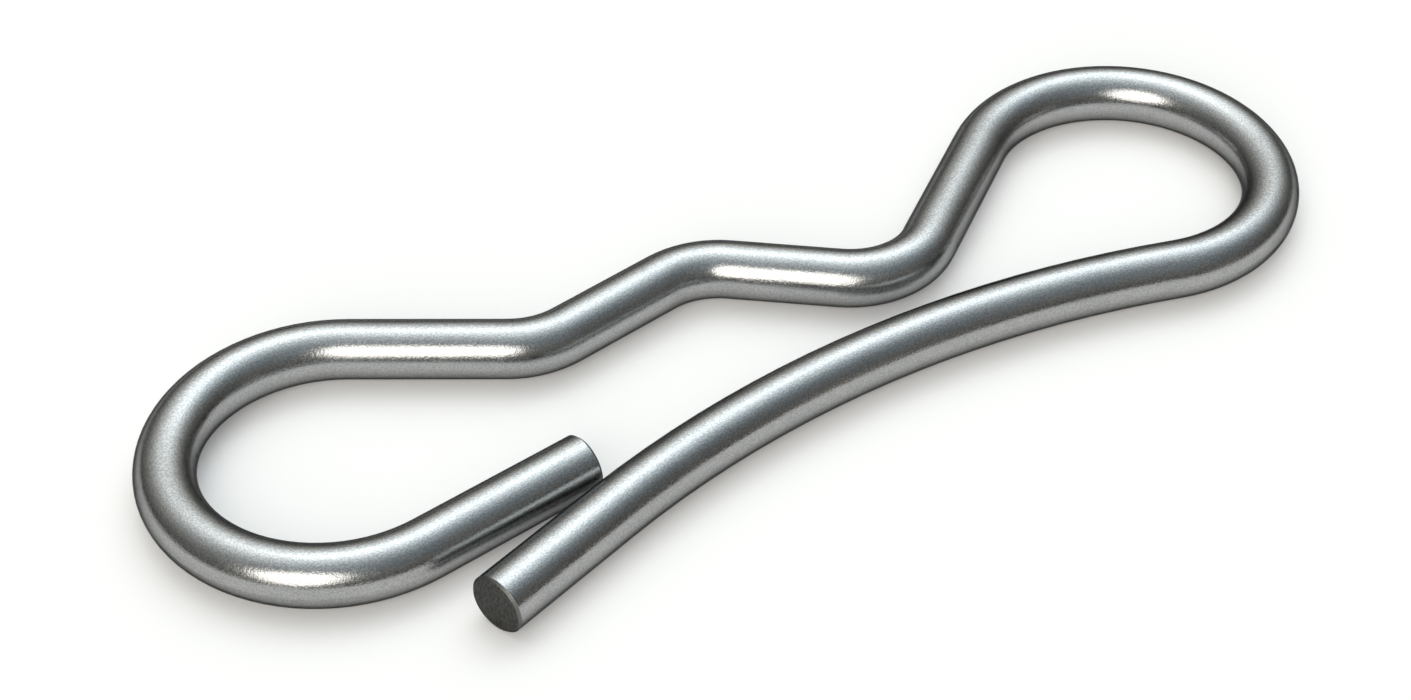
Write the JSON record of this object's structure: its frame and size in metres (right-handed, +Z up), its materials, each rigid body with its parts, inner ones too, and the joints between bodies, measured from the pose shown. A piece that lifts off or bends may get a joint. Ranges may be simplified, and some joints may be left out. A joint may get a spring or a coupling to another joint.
{
  "type": "hitch r clip pin",
  "caption": "Hitch R clip pin: one round spring wire bent in a plane, with a loop at each end, a straight leg for a cross hole and a wavy spring leg that grips the shaft.",
  "frame": {"origin": "centre of the clip's footprint, on the surface it lies on", "axes": "+X along the line of the two loop centres, away from the cut ends; +Y from the long leg towards the spring leg; +Z up, through the wire"},
  "size_m": [0.1068, 0.0388, 0.005],
  "materials": {
    "spring_steel": "drawn spring-steel wire, bright satin with fine lengthwise draw lines, darker sheared end faces"
  },
  "bodies": {
    "root": {"wire_clip": "spring_steel"}
  },
  "joints": []
}
